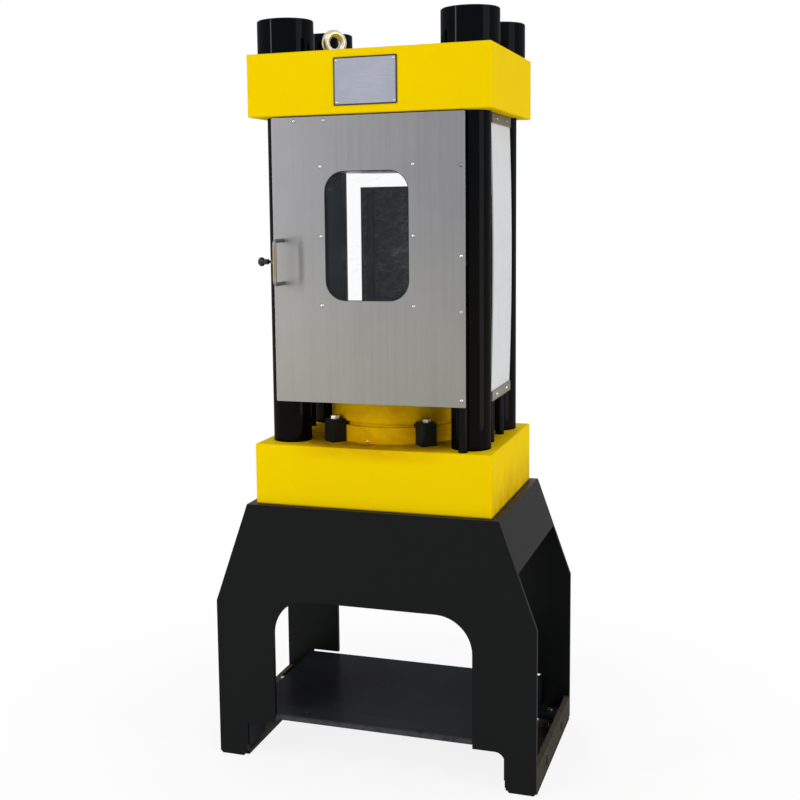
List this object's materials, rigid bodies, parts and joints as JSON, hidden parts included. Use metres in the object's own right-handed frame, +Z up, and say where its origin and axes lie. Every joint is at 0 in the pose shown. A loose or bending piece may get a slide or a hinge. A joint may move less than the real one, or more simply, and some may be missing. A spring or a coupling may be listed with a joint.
{
  "type": "compression testing machine",
  "caption": "Floor-standing four-column hydraulic press for crushing concrete specimens, with a hinged guard door, side and rear guards, ram, tilting upper platen and plate stand.",
  "frame": {"origin": "on the floor, under the loading axis through the centres of the ram and the upper platen", "axes": "+Z up along the loading axis, -Y towards the guard door, +X towards the door's hinge side"},
  "size_m": [0.744, 0.4812, 1.673],
  "materials": {
    "stand_black": "satin black paint on steel plate",
    "shelf_steel": "thin dark paint on rolled sheet",
    "clamp_steel": "worn black paint on cast steel",
    "bolt_steel": "dulled zinc plate",
    "black_steel": "black oxide",
    "yellow_paint": "gloss yellow paint",
    "gloss_black": "high gloss black paint",
    "zinc": "bright zinc plate with a faint yellow tint",
    "stainless": "brushed stainless steel",
    "screw_steel": "bright stainless steel",
    "plate_silver": "satin silver with a dark border",
    "strip_steel": "plain rolled steel",
    "ground_steel": "ground and oiled",
    "hardened_steel": "hardened, dark grey",
    "bronze": "turned bronze",
    "rubber_black": "black rubber",
    "clear_pane": "clear polycarbonate",
    "pale_sheet": "pale grey sheet",
    "dark_sheet": "dark grey paint",
    "knob_black": "gloss black",
    "switch_black": "moulded black plastic"
  },
  "bodies": {
    "frame": {"stand_front_plate": "stand_black", "stand_rear_plate": "stand_black", "stand_top_plate": "stand_black", "stand_slope_plate_left": "stand_black", "stand_slope_plate_right": "stand_black", "stand_rail_left": "stand_black", "stand_rail_right": "stand_black", "shelf_tray": "shelf_steel", "shelf_brackets": "stand_black", "stand_bolts": "bolt_steel", "base_block": "yellow_paint", "column_front_left": "gloss_black", "column_front_right": "gloss_black", "column_rear_left": "gloss_black", "column_rear_right": "gloss_black", "column_nuts": "gloss_black", "crosshead": "yellow_paint", "eye_bolts": "zinc", "name_plate": "plate_silver", "name_plate_screws": "screw_steel", "cylinder_body": "yellow_paint", "cylinder_clamps": "clamp_steel", "clamp_bolts": "bolt_steel", "piston_seal": "rubber_black", "wiper_ring": "rubber_black", "oil_port_fitting": "zinc", "drain_plug": "zinc", "seat_housing": "hardened_steel", "retaining_ring": "hardened_steel", "cushion_ring": "rubber_black", "seat_screws": "black_steel", "hinge_post": "black_steel", "hinge_collar": "black_steel", "strike_bracket": "hardened_steel", "interlock_sensor": "switch_black", "side_guard_posts": "black_steel", "side_panel_left": "pale_sheet", "side_panel_right": "pale_sheet", "panel_strips": "strip_steel", "rear_guard_posts": "black_steel", "rear_panel": "dark_sheet", "guard_screws": "screw_steel"},
    "door": {"door_panel": "stainless", "door_window": "clear_pane", "door_screws": "screw_steel", "hinge_sleeve_lower": "black_steel", "hinge_sleeve_upper": "black_steel", "door_handle": "stainless", "latch_housing": "hardened_steel", "latch_nut": "zinc", "latch_spring": "zinc", "interlock_magnet": "switch_black"},
    "latch": {"latch_pin": "black_steel", "latch_knob": "knob_black"},
    "ram": {"piston": "ground_steel", "lower_platen": "ground_steel"},
    "liner": {"seat_liner": "bronze"},
    "platen": {"seat_ball": "ground_steel", "upper_platen": "hardened_steel"}
  },
  "joints": [
    {"name": "door_hinge", "type": "hinge", "parent": "frame", "child": "door", "pos_m": [0.205, -0.1905, 1.1], "axis": [0, 0, 1], "range_deg": [0, 95]},
    {"name": "latch_slide", "type": "slide", "parent": "door", "child": "latch", "axis": [1, 0, 0], "range_m": [0, 0.0068], "deforming": ["latch_spring"]},
    {"name": "ram_slide", "type": "slide", "parent": "frame", "child": "ram", "axis": [0, 0, 1], "range_m": [0, 0.05]},
    {"name": "seat_tilt_x", "type": "hinge", "parent": "frame", "child": "liner", "pos_m": [0, 0, 1.344], "axis": [1, 0, 0], "range_deg": [-2, 2], "stiffness_Nm_per_rad": 300, "deforming": ["cushion_ring"]},
    {"name": "seat_tilt_y", "type": "hinge", "parent": "liner", "child": "platen", "pos_m": [0, 0, 1.344], "axis": [0, 1, 0], "range_deg": [-2, 2], "stiffness_Nm_per_rad": 300, "deforming": ["cushion_ring"]}
  ]
}
